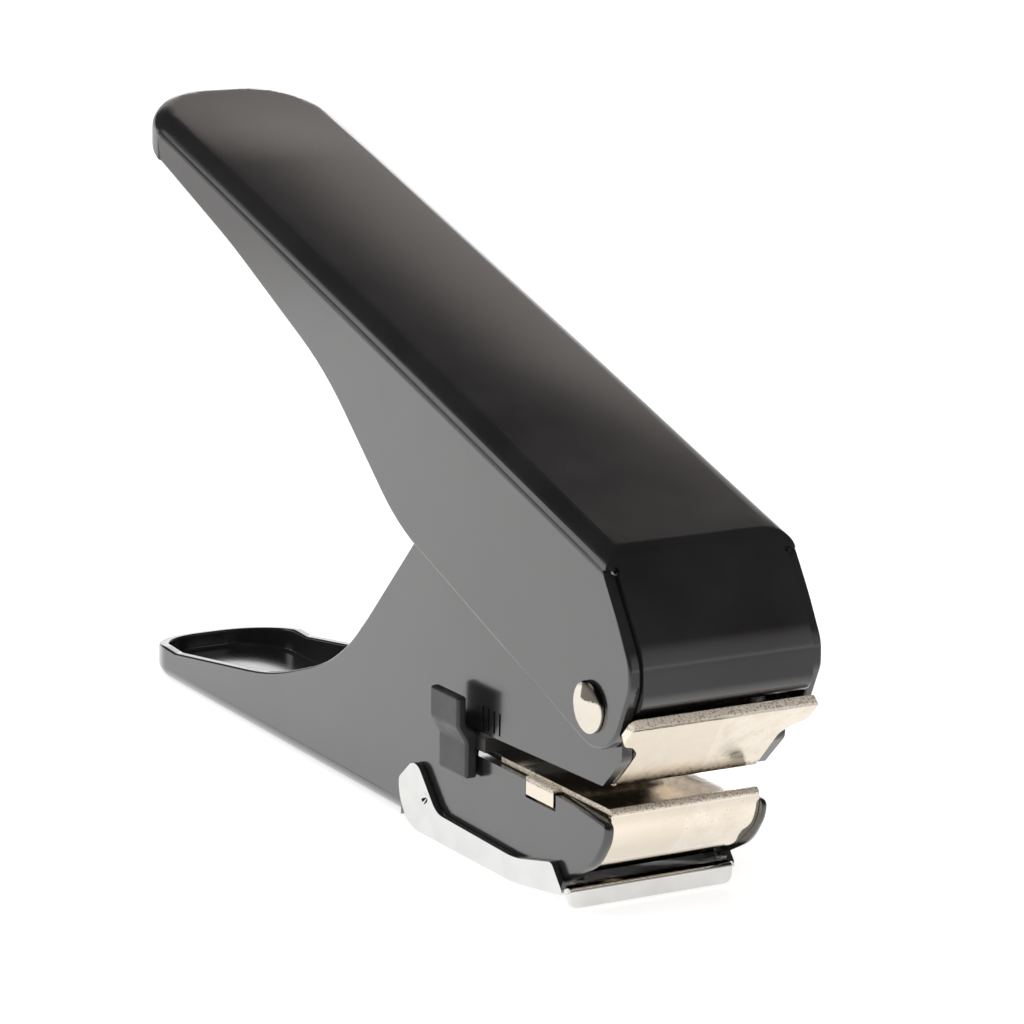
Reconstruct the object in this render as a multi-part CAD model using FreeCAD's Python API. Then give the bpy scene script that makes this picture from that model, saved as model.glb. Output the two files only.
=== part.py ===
import FreeCAD, Part
import math
import os

# Hand-held slot punch for plastic cards, in millimetres.
# Every piece is drawn in the tool frame: origin beside the pivot axis, +X towards the nose,
# +Z along the punch towards the handle, the tool symmetric about the plane y = 0.
# At the end the tool is leaned back so that it stands on its tail and its chip tray,
# and is moved so that the origin is the middle of its footprint on the table.

V = FreeCAD.Vector

# ---- stance ----
PIVOT_HEIGHT = 30.9        # the tool frame's origin above the table
STAND_TILT = 1.05          # degrees the punch axis leans back when the tool stands

# ---- handle: one folded sheet ----
HANDLE_W = 30.0            # outside width over the flanges
HANDLE_T = 1.6             # sheet thickness
HANDLE_REAR = -138.4       # rear end of the handle
HANDLE_CORNER_R = 12.0     # corner radius of the rear end, seen from above
HANDLE_FOLD_R = 3.0        # outside radius of the long folds
NOSE_FOLD = (2.3, 21.5)    # where the top turns down into the nose panel
TOP_SLOPE = 17.0           # degrees the top rises towards the rear
NOSE_FOLD_R = 3.2
NOSE_BULGE = (10.75, 8.5, 8.0)  # x, z and radius where the nose turns upright
NOSE_CURL = (10.9, 1.3, 3.0)    # x, z and radius where it curls under
NOSE_TIP = (8.2, 0.7)
FLANGE_LINE = [(10.3, 7.9, 6.0), (10.3, 4.3, 3.0), (5.27, -7.23, 7.2), (-51.8, 13.4, 35.0),
               (-73.7, 31.6, 60.0), (-103.0, 45.2, 150.0), (-143.0, 60.8, 0.0)]
NOSE_GAP = 0.2             # slit between the nose panel and the flanges
RELIEF_DROP = 2.5          # the slits start this far under the nose fold
RELIEF_STEP = 1.0          # the flanges' front edges lie this far behind the nose panel
RELIEF_R = 0.45            # round end of each slit
NOSE_CORNER_R = 0.9        # rounding of the corner over each slit

# ---- body: one folded sheet, two cheeks and a trough ----
CHEEK_SIDE_GAP = 0.6       # from each cheek to its flange, filled by the washer
BODY_W = HANDLE_W - 2 * (HANDLE_T + CHEEK_SIDE_GAP)
BODY_T = 1.6
TAIL_X = -140.9
TAIL_NARROWING = 0.6       # the trough is this much narrower on each side at the tail
TAIL_CORNER_R = 10.5
TAIL_TAPER_X = -62.0       # the trough starts to narrow here
TAIL_TAPER_R = 60.0
BODY_FOLD_R = 2.2
BELLY_SLOPE = 0.73         # degrees the trough's floor drops towards the nose
WEB_END_X = -53.5          # the trough's floor stops here, behind the chip tray
CHEEK_TOP_Z = 14.0
CHEEK_BOTTOM_Z = -27.3
CHEEK_NOSE_LINE = [(5.3, -6.4, 1.5), (5.3, 6.0, 3.0), (1.5, CHEEK_TOP_Z, 3.0)]
RIM_LINE = [(-47.5, CHEEK_TOP_Z, 3.0), (-72.5, -11.4, 39.0), (-94.2, -18.8, 80.0),
            (-127.2, -23.3, 6.0), (-131.4, -23.1, 5.0), (-143.0, -24.5, 0)]
JAW_LINE = [(2.1, -16.0, 1.0), (1.8, -18.6, 5.0), (-1.0, -22.7, 9.0), (-9.7, CHEEK_BOTTOM_Z, 4.0),
            (-50.0, CHEEK_BOTTOM_Z, 1.0)]

# ---- throat ----
THROAT_END_X = -34.5
THROAT_TOP_FRONT = (0.7, -11.0)
THROAT_TOP_REAR_Z = -11.75
THROAT_LOW_REAR_Z = -15.2
THROAT_LOW_BREAK = (-11.0, -15.4, 20.0)   # the lower edge drops away ahead of here
THROAT_R = 0.6

# ---- pivot ----
PIVOT = (0.8, 0.15)        # x and z of the pivot axis
PIVOT_D = 5.0
RUNNING_CLEARANCE = 0.05   # radial, a pin turning or sliding in its hole
FIXED_CLEARANCE = 0.02     # radial, a pin fast in its hole
RIVET_HEAD_R = 3.55
RIVET_HEAD_H = 0.55
RIVET_DOME = 0.42          # rise of the head's face inside its rim
RIVET_HEAD_GAP = 0.08
SLEEVE_D = 7.2
WASHER_D = 8.6
WASHER_SHY = 0.1           # the washer is this much thinner than its gap

# ---- punch ----
PUNCH_X = -15.65           # punch axis behind the pivot
SLOT_L = 14.0              # the slot that is punched, across the tool
SLOT_W = 3.0
PUNCH_FIT = 0.05
SQUEEZE_DEG = 18.0         # travel of the handle
PIN_D = 4.0                # cross pin that drives the punch
PIN_Z = 8.0                # height of the cross pin over the pivot at rest
PIN_SLOT_CLEARANCE = 0.3
PIN_CHAMFER = 0.4
CARRIER_T = 7.0            # carrier bar along X
CARRIER_BOTTOM = 1.0
CARRIER_TOP = 12.0
CARRIER_EDGE_R = 0.8
BOSS_WALL = 1.3            # round each spring's pocket
BLADE_GRIND_R = 60.0       # radius of the hollow end of the blade
BLADE_GRIND_RISE = 0.5
BLADE_TIP_SHY = 0.3        # the tip waits this far above the guide plate's face
BLADE_SEAT = 4.5           # how deep the blade sits in the carrier
BLADE_PIN_D = 1.6
BLADE_PIN_Y = 4.2          # each pin off the middle; the spring bosses lie between them
SPRING_OFFSET = 6.0        # each spring axis before and behind the punch axis
SPRING_D = 5.0
SPRING_WIRE = 0.8
SPRING_TURNS = 7
SPRING_POCKET_GAP = 0.3
SPRING_POCKET_UP = 6.0     # pocket depth in the carrier
SPRING_POCKET_DOWN = 4.5   # pocket depth in the guide block

# ---- nickel-plated jaw plates ----
GUIDE_T = 1.2
GUIDE_FACE_Z = -11.2       # underside of the upper jaw plate
GUIDE_REAR_X = -26.0
GUIDE_FRONT_X = 1.0
GUIDE_LEAN = 47.4          # degrees of the flared front plate from the level
GUIDE_TOP_Z = -0.35
GUIDE_EAR_PROUD = 1.7      # each ear reaches this far past its cheek
GUIDE_EAR_H = 4.9          # ear height along the flared plate
GUIDE_FLARE_H = 1.9
PLATE_SIDE_GAP = 0.1
DIE_T = 2.4
DIE_SKIN_T = 0.85          # the plate's rolled edges that lie over the cheeks
DIE_SKIN_LAP = 0.45        # how far they reach over each cheek
DIE_SEAT_GAP = 0.05
DIE_FACE_Z = -14.3
DIE_REAR_X = -27.5
DIE_FRONT_X = 1.3
DIE_LIP_LINE = [(DIE_FRONT_X, -18.85, 6.0), (-3.8, -23.65, 8.0), (-8.6, -26.05, 0.0)]
DIE_BACK_Z = -26.5
DIE_TAB_X = -15.05         # middle of the tab
DIE_TAB_L = 7.0
DIE_TAB_H = 2.65
DIE_TAB_DROP = 0.3         # the tab's top below the die's face
DIE_TAB_PROUD = 0.35
DIE_TAB_GAP = 0.45
DIE_TAB_R = 0.3
DIE_KNEE_R = 0.4
DIE_RELIEF = 0.5           # the slot widens by this below the die's land
DIE_LAND = 1.2
GUIDE_BLOCK_L = 18.0
GUIDE_BLOCK_TOP = -4.0
SCREW_D = 2.5
SCREW_HEAD_D = 4.6
SCREW_INSET = 3.0          # screw axes ahead of the guide block's rear end
SCREW_Y = 8.0
SCREW_DRIVE = (0.7, 0.6)   # width and depth of the driver slot

# ---- drive bracket inside the handle ----
BRACKET_T = 1.6
BRACKET_SIDE_GAP = 0.4     # from each leg to its cheek
BRACKET_L = 17.0
BRACKET_SHOULDER = 5.0
BRACKET_LEG_X = (-20.65, -8.65)
ROLLER_D = 5.6             # roller on each end of the cross pin, running in the bracket
ROLLER_SHY = 0.05          # side play of a roller
BRACKET_BOTTOM = 3.4

# ---- depth stop ----
STOP_X0 = -39.3
STOP_L = 7.8
STOP_TOP_Z = -6.4
STOP_STEP_Z = -10.8
STOP_LOW_Z = -13.2
STOP_BOTTOM_Z = -18.3
STOP_PAD_PROUD = 3.6       # the pads' outside from the cheeks' outside
STOP_PAD_T = 1.5
STOP_FOOT_PROUD = 2.15
STOP_CHEEK_GAP = 0.3
STOP_BAR_T = 2.0
STOP_BAR_L = 5.4
STOP_BAR_GAP = 0.1         # the bar rests this near the throat's end
STOP_EDGE_R = 0.5
STOP_BAR_LIFT = 0.3        # gap between the bar and the throat's edges at the rear
GROOVE_COUNT = 4
GROOVE_PITCH = 1.5
GROOVE_W = 0.5
GROOVE_DEPTH = 0.35
GROOVE_Z = (-11.0, -7.8)
GROOVE_X0 = -30.9

# ---- chip tray ----
TRAY_T = 0.9
TRAY_SIDE_GAP = 0.15
TRAY_HINGE = (-45.0, -24.6)
TRAY_HEEL_R = 6.0          # rounding of the arm's heel, which the tool stands on
TRAY_HEEL_X = -46.4
TRAY_EAR_TOP = (-47.7, -19.4)
TRAY_EAR_RISE = 0.6        # the ear's edge starts to lean this far above the heel's centre
TRAY_ARM_LINE = [(-41.6, -26.0, 4.0), (-20.0, -26.5, 20.0), (-10.3, -24.35, 1.2), (-7.6, -27.5, 0.3)]
TRAY_BREAK_R = 30.0
TRAY_FRONT_X = -7.4
TRAY_FLOOR_REAR_X = -38.0
TRAY_FLOOR_BREAK_X = -20.0
TRAY_FRONT_Z = -28.25
TRAY_LIP_X = -6.6          # front of the finger lip
TRAY_LIP_TOP_Z = -27.35
TRAY_LIP_LOW = (-6.75, -30.25)
TRAY_LIP_BEND_R = 0.55
TRAY_LIP_PROUD = 0.1       # the lip reaches this far past the cheeks
TRAY_LIP_CORNER_R = 1.3
DIMPLE_D = 2.0
DIMPLE_GAP = 0.3
DIMPLE_LEN = 1.1
HINGE_DISH_D = 1.9
HINGE_DISH_DEPTH = 0.45

TILT = math.radians(STAND_TILT)
HALF_BODY = BODY_W / 2
HALF_HANDLE = HANDLE_W / 2
CHEEK_IN = HALF_BODY - BODY_T
BRACKET_HALF_W = CHEEK_IN - BRACKET_SIDE_GAP
CARRIER_HALF_W = BRACKET_HALF_W - BRACKET_T - 0.2
FLANGE_IN = HALF_HANDLE - HANDLE_T
ALL = 400.0                # longer than anything, for through cuts
AHEAD = 40.0               # x of cutters that end in front of the tool
BELOW = -60.0              # z of cutters that end under the tool


# ---------------------------------------------------------------- helpers
def rounded_wire(corners, place):
    """A closed wire through corners (a, b, radius), each corner rounded."""
    count = len(corners)
    starts, mids, ends = [], [], []
    for i, (a, b, r) in enumerate(corners):
        here = V(a, b, 0)
        back = (V(*corners[i - 1][:2], 0) - here).normalize()
        on = (V(*corners[(i + 1) % count][:2], 0) - here).normalize()
        half = back.getAngle(on) / 2
        reach = r / math.tan(half)
        starts.append(here + back * reach)
        ends.append(here + on * reach)
        mids.append(here + (back + on).normalize() * (r / math.sin(half) - r))
    edges = []
    for i, (a, b, r) in enumerate(corners):
        if r > 0:
            edges.append(Part.Arc(place(starts[i]), place(mids[i]), place(ends[i])).toShape())
        nxt = (i + 1) % count
        if ends[i].distanceToPoint(starts[nxt]) > 1e-6:
            edges.append(Part.makeLine(place(ends[i]), place(starts[nxt])))
    return Part.Wire(edges)


def inner_line(line, t):
    """The corners (a, b, radius) of a line that runs t to the right of another one."""
    points = [V(a, b, 0) for a, b, r in line]
    ways = [(after - here).normalize() for here, after in zip(points, points[1:])]
    sides = [V(way.y, -way.x, 0) for way in ways]
    moves = [sides[0]] + [(s0 + s1) / (1 + s0.dot(s1)) for s0, s1 in zip(sides, sides[1:])] + [sides[-1]]
    moved = [point + move * t for point, move in zip(points, moves)]
    return [(p.x, p.y, max(r - t, 0) if r else 0) for p, (a, b, r) in zip(moved, line)]


def side_plate(corners, half_w, y_mid=0.0):
    """An outline in the XZ plane, extruded along Y to both sides of y_mid."""
    wire = rounded_wire(corners, lambda p: V(p.x, y_mid - half_w, p.y))
    return Part.Face(wire).extrude(V(0, 2 * half_w, 0))


def plan_plate(corners):
    """An outline in the XY plane, extruded through everything."""
    wire = rounded_wire(corners, lambda p: V(p.x, p.y, -ALL / 2))
    return Part.Face(wire).extrude(V(0, 0, ALL))


def cross_plate(corners, x0, length):
    """An outline in the YZ plane, extruded along X."""
    wire = rounded_wire(corners, lambda p: V(x0, p.x, p.y))
    return Part.Face(wire).extrude(V(length, 0, 0))


def block(x0, x1, half_w, z0, z1):
    return Part.makeBox(x1 - x0, 2 * half_w, z1 - z0, V(x0, -half_w, z0))


def pin_y(diameter, half_w, x, z, y_mid=0.0):
    """A round bar along Y."""
    return Part.makeCylinder(diameter / 2, 2 * half_w, V(x, y_mid - half_w, z), V(0, 1, 0))


def slot_y(x0, x1, z0, z1, width, half_w):
    """A round-ended slot cutter along Y between two centres."""
    along = V(x1 - x0, 0, z1 - z0)
    side = V(along.z, 0, -along.x).normalize() * (width / 2)
    low = V(x0, -half_w, z0)
    high = low + along
    face = Part.Face(Part.makePolygon([low - side, low + side, high + side, high - side, low - side]))
    bar = face.extrude(V(0, 2 * half_w, 0))
    return bar.fuse([pin_y(width, half_w, x0, z0), pin_y(width, half_w, x1, z1)])


def punch_slot(grow, z0, z1):
    """The slot's own section, round-ended along Y, as a bar along Z."""
    r = SLOT_W / 2 + grow
    reach = (SLOT_L - SLOT_W) / 2
    bar = Part.makeBox(2 * r, 2 * reach, z1 - z0, V(PUNCH_X - r, -reach, z0))
    ends = [Part.makeCylinder(r, z1 - z0, V(PUNCH_X, s * reach, z0)) for s in (-1, 1)]
    return bar.fuse(ends).removeSplitter()


def mirror_y(shape):
    return shape.mirror(V(0, 0, 0), V(0, 1, 0))


def both_sides(shape):
    return [shape, mirror_y(shape)]


def edges_on(solid, test):
    """Edges whose middle point passes the test."""
    picked = []
    for edge in solid.Edges:
        mid = edge.valueAt((edge.FirstParameter + edge.LastParameter) / 2)
        if test(mid, edge):
            picked.append(edge)
    return picked


def turned(x, z, degrees):
    """A point of the side view turned about the pivot, rear end down."""
    a = math.radians(degrees)
    px, pz = PIVOT
    dx, dz = x - px, z - pz
    return px + dx * math.cos(a) - dz * math.sin(a), pz + dx * math.sin(a) + dz * math.cos(a)


# ---------------------------------------------------------------- handle
def top_z(x, inset=0.0):
    """Height of the handle's top face at x, or of a face that lies inset below it."""
    slope = math.radians(TOP_SLOPE)
    return NOSE_FOLD[1] + (NOSE_FOLD[0] - x) * math.tan(slope) - inset / math.cos(slope)


def top_edge(front, rear, inset):
    """The top line's two ends, front and rear."""
    return (front, top_z(front, inset), 0), (rear, top_z(rear, inset), 0)


def handle_plan(inset):
    half = HALF_HANDLE - inset
    rear = HANDLE_REAR + inset
    r = HANDLE_CORNER_R - inset
    return plan_plate([(rear, -half, r), (AHEAD, -half, 0), (AHEAD, half, 0), (rear, half, r)])


def fold_top(solid, inset):
    """Round the folds along the top's long edges and its rear end."""
    front = NOSE_FOLD[0] - 1.0

    def on_fold(p, edge):
        return abs(p.z - top_z(p.x, inset)) < 0.02 and p.x < front

    return solid.makeFillet(HANDLE_FOLD_R - inset, edges_on(solid, on_fold))


def nose_slope():
    """Angle of the nose panel's upper flat under the level."""
    return math.atan2(NOSE_FOLD[1] - NOSE_BULGE[1], NOSE_BULGE[0] - NOSE_FOLD[0])


def relief_point():
    """Outer face of the nose panel at the level where the slits start."""
    x = NOSE_FOLD[0] + RELIEF_DROP / math.tan(nose_slope())
    return x, NOSE_FOLD[1] - RELIEF_DROP


def nose_inner_fold():
    """Corner where the inside faces of the top and the nose panel meet."""
    slope = math.radians(TOP_SLOPE)
    half = (nose_slope() - slope) / 2
    lean = slope + half
    reach = HANDLE_T / math.cos(half)
    return NOSE_FOLD[0] - reach * math.sin(lean), NOSE_FOLD[1] - reach * math.cos(lean)


def handle_blank():
    """The folded sheet's outside, as if it were solid."""
    x, z = relief_point()
    fold, back = top_edge(NOSE_FOLD[0], FLANGE_LINE[-1][0], 0.0)
    corner = [(x, z, 0), (x - RELIEF_STEP, z, 0)]
    side = side_plate([fold] + corner + FLANGE_LINE + [back], HALF_HANDLE)
    blank = fold_top(side.common(handle_plan(0.0)), 0.0)
    return blank.common(nose_roll()).cut(corner_trims())


def nose_roll():
    """Everything behind the rolled nose fold."""
    fx, fz = NOSE_FOLD
    low = relief_point()[1] - 1
    end = (fx + (fz - low) / math.tan(nose_slope()), low, 0)
    rear = HANDLE_REAR - 10
    return side_plate([(fx, fz, NOSE_FOLD_R), end, (AHEAD, low, 0), (AHEAD, BELOW, 0), (rear, BELOW, 0),
                       (rear, top_z(rear), 0)], HALF_HANDLE + 1)


def corner_trims():
    """Cutters that round the two upright corners over the slits."""
    r = NOSE_CORNER_R
    slope = nose_slope()
    along = V(math.cos(slope), 0, -math.sin(slope))
    out = V(math.sin(slope), 0, math.cos(slope))
    start = V(NOSE_FOLD[0], 0, NOSE_FOLD[1]) - along * 4 * r - out * r
    length = 4 * r + RELIEF_DROP / math.sin(slope) + 2 * r
    trims = []
    for s in (-1, 1):
        low = start + V(0, s * (HALF_HANDLE - r), 0)
        side = V(0, s * 2 * r, 0)
        ring = Part.makePolygon([low, low + side, low + side + out * 2 * r, low + out * 2 * r, low])
        bar = Part.Face(ring).extrude(along * length)
        trims.append(bar.cut(Part.makeCylinder(r, length, low, along)))
    return trims


def handle_hollow():
    """The space inside the folded sheet, open downwards."""
    t = HANDLE_T
    fx, fz = nose_inner_fold()
    low = relief_point()[1] - 4 * t
    front = (fx + (fz - low) / math.tan(nose_slope()), low, 0)
    back_x = FLANGE_LINE[-1][0]
    line = [(fx, fz, 0), front, (front[0], BELOW, 0), (back_x, BELOW, 0), (back_x, top_z(back_x, t), 0)]
    solid = side_plate(line, HALF_HANDLE).common(handle_plan(t))
    inner_r = HANDLE_FOLD_R - t

    def on_fold(p, edge):
        return abs(p.z - top_z(p.x, t)) < 0.02 and p.x < fx - 0.5

    return solid.makeFillet(inner_r, edges_on(solid, on_fold))


def nose_panel():
    """The top sheet carried on over the fold, down the nose and curled under."""
    slope = nose_slope()
    along = NOSE_FOLD_R * math.tan((slope - math.radians(TOP_SLOPE)) / 2) + 0.2
    start = (NOSE_FOLD[0] + along * math.cos(slope), NOSE_FOLD[1] - along * math.sin(slope), 0)
    outer = [start, NOSE_BULGE, NOSE_CURL, (*NOSE_TIP, 0)]
    return side_plate(outer + list(reversed(inner_line(outer, HANDLE_T))), FLANGE_IN - NOSE_GAP)


def slit_ends():
    """Round ends of the slits between the nose panel and the flanges."""
    x, z = relief_point()
    slope = nose_slope()
    out = V(math.sin(slope), 0, math.cos(slope))
    y = FLANGE_IN - NOSE_GAP / 2
    start = V(x, y, z) - out * 3 * HANDLE_T
    return both_sides(Part.makeCylinder(RELIEF_R, 6 * HANDLE_T, start, out))


def handle_shell():
    """Handle: top, flanges, rear end and nose, all one folded sheet."""
    front_clear = block(-2 * HANDLE_T, AHEAD, FLANGE_IN, BELOW, relief_point()[1])
    shell = handle_blank().cut(handle_hollow()).cut(front_clear)
    shell = shell.fuse(nose_panel()).removeSplitter().cut(slit_ends())
    return shell.cut(pin_y(PIVOT_D + 2 * RUNNING_CLEARANCE, HALF_HANDLE + 1, *PIVOT))


def drive_bracket():
    """U bracket welded under the handle's top; its legs drive the cross pin."""
    x0, x1 = PUNCH_X - BRACKET_L / 2, PUNCH_X + BRACKET_L / 2
    leg0, leg1 = BRACKET_LEG_X
    t = BRACKET_T
    (rx, rz, _), (fx, fz, _) = reversed(top_edge(x1, x0, HANDLE_T))
    roof = side_plate([(rx, rz, 0), (fx, fz, 0), (fx, fz - t, 0), (rx, rz - t, 0)], BRACKET_HALF_W)
    leg = [(rx, rz, 0), (fx, fz, 0), (fx, fz - BRACKET_SHOULDER, 2), (leg1, BRACKET_BOTTOM + 8, 3),
           (leg1, BRACKET_BOTTOM, 2), (leg0, BRACKET_BOTTOM, 2), (leg0, BRACKET_BOTTOM + 8, 3),
           (rx, rz - BRACKET_SHOULDER, 2)]
    legs = both_sides(side_plate(leg, t / 2, BRACKET_HALF_W - t / 2))
    return roof.fuse(legs).removeSplitter().cut(drive_slot())


def pin_travel():
    """Fall of the cross pin over the handle's travel, its slot staying level in the handle."""
    a = math.radians(SQUEEZE_DEG)
    x, z = turned(PUNCH_X, PIN_Z, SQUEEZE_DEG)
    return PIN_Z - (z + (PUNCH_X - x) * math.tan(a))


def drive_slot():
    """The pin's path seen from the handle: level, from rest towards the pivot."""
    end_x = turned(PUNCH_X, PIN_Z - pin_travel(), -SQUEEZE_DEG)[0]
    width = ROLLER_D + 2 * PIN_SLOT_CLEARANCE
    return slot_y(PUNCH_X, end_x, PIN_Z, PIN_Z, width, BRACKET_HALF_W + 1)


# ---------------------------------------------------------------- body
def belly_z(x, inset=0.0):
    """Underside of the trough: a slope that leaves the tail's rounding where it meets the table."""
    slope = math.radians(BELLY_SLOPE)
    cx = TAIL_X + BODY_FOLD_R
    cz = (BODY_FOLD_R - PIVOT_HEIGHT - cx * math.sin(TILT)) / math.cos(TILT)
    px = cx - BODY_FOLD_R * math.sin(slope)
    pz = cz - BODY_FOLD_R * math.cos(slope)
    return pz - (x - px) * math.tan(slope) + inset / math.cos(slope)


def body_side():
    """The whole side outline of the body as corner points."""
    tail_x, end_x = RIM_LINE[-1][0], WEB_END_X
    tail = [(tail_x, belly_z(tail_x), 0), (end_x, belly_z(end_x), 0)]
    throat = [THROAT_LOW_BREAK, (THROAT_END_X, THROAT_LOW_REAR_Z, THROAT_R),
              (THROAT_END_X, THROAT_TOP_REAR_Z, THROAT_R)]
    mouth = [(*THROAT_TOP_FRONT, THROAT_R)]
    return mouth + CHEEK_NOSE_LINE + RIM_LINE + tail + list(reversed(JAW_LINE)) + throat


def body_plan(inset):
    """Plan of the trough: straight along the cheeks, narrowing to a round tail."""
    half = HALF_BODY - inset
    tail = half - TAIL_NARROWING
    x = TAIL_X + inset
    r = TAIL_CORNER_R - inset
    return plan_plate([(x, -tail, r), (TAIL_TAPER_X, -half, TAIL_TAPER_R), (AHEAD, -half, 0),
                       (AHEAD, half, 0), (TAIL_TAPER_X, half, TAIL_TAPER_R), (x, tail, r)])


def belly_blank(inset, z_top, x_front):
    """A block standing on the belly plane, its lower edges folded round."""
    rear = TAIL_X - 2
    corners = [(rear, belly_z(rear, inset), 0), (x_front, belly_z(x_front, inset), 0),
               (x_front, z_top, 0), (rear, z_top, 0)]
    solid = side_plate(corners, HALF_BODY + 1).common(body_plan(inset))

    def low(p, edge):
        return abs(p.z - belly_z(p.x, inset)) < 0.02 and p.x < x_front - 0.5

    return solid.makeFillet(BODY_FOLD_R - inset, edges_on(solid, low))


def die_notches():
    """Openings in the cheeks for the die plate's tabs."""
    half_l = DIE_TAB_L / 2 + DIE_TAB_GAP
    low = DIE_FACE_Z - DIE_TAB_DROP - DIE_TAB_H - DIE_TAB_GAP
    return block(DIE_TAB_X - half_l, DIE_TAB_X + half_l, HALF_BODY + 1, low, DIE_FACE_Z + THROAT_R)


def detent_grooves():
    """Upright grooves pressed in the cheeks where the depth stop clicks."""
    cuts = []
    for i in range(GROOVE_COUNT):
        x = GROOVE_X0 + i * GROOVE_PITCH
        groove = Part.makeBox(GROOVE_W, GROOVE_DEPTH + 1, GROOVE_Z[1] - GROOVE_Z[0],
                              V(x, HALF_BODY - GROOVE_DEPTH, GROOVE_Z[0]))
        cuts += both_sides(groove)
    return cuts


def pin_guides():
    """Upright slots in the cheeks that guide the cross pin."""
    width = PIN_D + 2 * RUNNING_CLEARANCE
    return slot_y(PUNCH_X, PUNCH_X, PIN_Z - pin_travel() - PIN_SLOT_CLEARANCE,
                  PIN_Z + PIN_SLOT_CLEARANCE, width, HALF_BODY + 1)


def body_frame():
    outer = side_plate(body_side(), HALF_BODY + 1).common(body_plan(0.0))
    rounded = belly_blank(0.0, CHEEK_TOP_Z + 1, WEB_END_X)
    ahead = block(WEB_END_X, AHEAD, HALF_BODY + 1, BELOW, -BELOW)
    outer = outer.common(rounded.fuse(ahead))
    inner = belly_blank(BODY_T, ALL / 2, WEB_END_X / 2)
    front_clear = block(WEB_END_X, AHEAD, CHEEK_IN, BELOW, -BELOW)
    frame = outer.cut(inner).cut(front_clear).cut(die_notches())
    frame = frame.cut(detent_grooves()).cut(pin_guides())
    frame = frame.cut(pin_y(PIVOT_D + 2 * FIXED_CLEARANCE, HALF_BODY + 1, *PIVOT)).cut(die_seat())
    return frame.cut(pin_y(DIMPLE_D + 2 * DIMPLE_GAP, HALF_BODY + 1, *TRAY_HINGE))


# ---------------------------------------------------------------- pivot
def rivet_head(side):
    """A low domed head, just clear of the flange."""
    y = HALF_HANDLE + RIVET_HEAD_GAP
    height = RIVET_HEAD_H + RIVET_DOME
    ball_r = (RIVET_HEAD_R ** 2 + RIVET_DOME ** 2) / (2 * RIVET_DOME)
    disc = Part.makeCylinder(RIVET_HEAD_R, height, V(PIVOT[0], side * y, PIVOT[1]), V(0, side, 0))
    return disc.common(Part.makeSphere(ball_r, V(PIVOT[0], side * (y + height - ball_r), PIVOT[1])))


def pivot_rivet():
    shank = pin_y(PIVOT_D, HALF_HANDLE + RIVET_HEAD_GAP, *PIVOT)
    return shank.fuse([rivet_head(-1), rivet_head(1)]).removeSplitter()


def pivot_sleeve():
    half = CHEEK_IN - WASHER_SHY / 2
    hole = pin_y(PIVOT_D + 2 * RUNNING_CLEARANCE, half + 1, *PIVOT)
    return pin_y(SLEEVE_D, half, *PIVOT).cut(hole)


def pivot_washer(side):
    gap = FLANGE_IN - HALF_BODY
    y = side * (HALF_BODY + gap / 2)
    half = (gap - WASHER_SHY) / 2
    hole = pin_y(PIVOT_D + 2 * RUNNING_CLEARANCE, half + 1, *PIVOT, y)
    return pin_y(WASHER_D, half, *PIVOT, y).cut(hole)


# ---------------------------------------------------------------- punch
def spring_axes():
    return [PUNCH_X + SPRING_OFFSET, PUNCH_X - SPRING_OFFSET]


def spring_pocket(x, z0, z1):
    return Part.makeCylinder(SPRING_D / 2 + SPRING_POCKET_GAP, z1 - z0, V(x, 0, z0))


def punch_carrier():
    """Cast bar that holds the blade, with a boss over each spring."""
    half_t = CARRIER_T / 2
    bar = block(PUNCH_X - half_t, PUNCH_X + half_t, CARRIER_HALF_W, CARRIER_BOTTOM, CARRIER_TOP)
    bar = bar.makeFillet(CARRIER_EDGE_R, edges_on(bar, lambda p, e: abs(p.z - CARRIER_TOP) < 0.01))
    boss_h = SPRING_POCKET_UP + BOSS_WALL
    boss_r = SPRING_D / 2 + SPRING_POCKET_GAP + BOSS_WALL
    bosses = [Part.makeCylinder(boss_r, boss_h, V(x, 0, CARRIER_BOTTOM)) for x in spring_axes()]
    body = bar.fuse(bosses).removeSplitter()
    pocket_top = CARRIER_BOTTOM + SPRING_POCKET_UP
    pockets = [spring_pocket(x, CARRIER_BOTTOM - 1, pocket_top) for x in spring_axes()]
    seat = punch_slot(FIXED_CLEARANCE, CARRIER_BOTTOM - 1, CARRIER_BOTTOM + BLADE_SEAT)
    pin_hole = pin_y(PIN_D + 2 * FIXED_CLEARANCE, HALF_BODY, PUNCH_X, PIN_Z)
    return body.cut(pockets + [seat, pin_hole] + blade_pin_bars(FIXED_CLEARANCE, half_t + 1))


def blade_pin_bars(grow, half_l):
    """Two cross pins' worth of round bar through the blade's seat."""
    z = CARRIER_BOTTOM + BLADE_SEAT / 2
    return [Part.makeCylinder(BLADE_PIN_D / 2 + grow, 2 * half_l, V(PUNCH_X - half_l, s * BLADE_PIN_Y, z),
                              V(1, 0, 0)) for s in (-1, 1)]


def blade_tip_z():
    return GUIDE_FACE_Z + BLADE_TIP_SHY


def punch_blade():
    """Hardened blade with the slot's section; its end is ground hollow to shear gradually."""
    top = CARRIER_BOTTOM + BLADE_SEAT - FIXED_CLEARANCE
    blade = punch_slot(0.0, blade_tip_z(), top)
    axis_z = blade_tip_z() + BLADE_GRIND_RISE - BLADE_GRIND_R
    grind = Part.makeCylinder(BLADE_GRIND_R, 4 * SLOT_W, V(PUNCH_X - 2 * SLOT_W, 0, axis_z), V(1, 0, 0))
    return blade.cut([grind] + blade_pin_bars(FIXED_CLEARANCE, CARRIER_T))


def blade_pins():
    """The two small pins that keep the blade in the carrier."""
    return Part.makeCompound(blade_pin_bars(0.0, CARRIER_T / 2))


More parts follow.
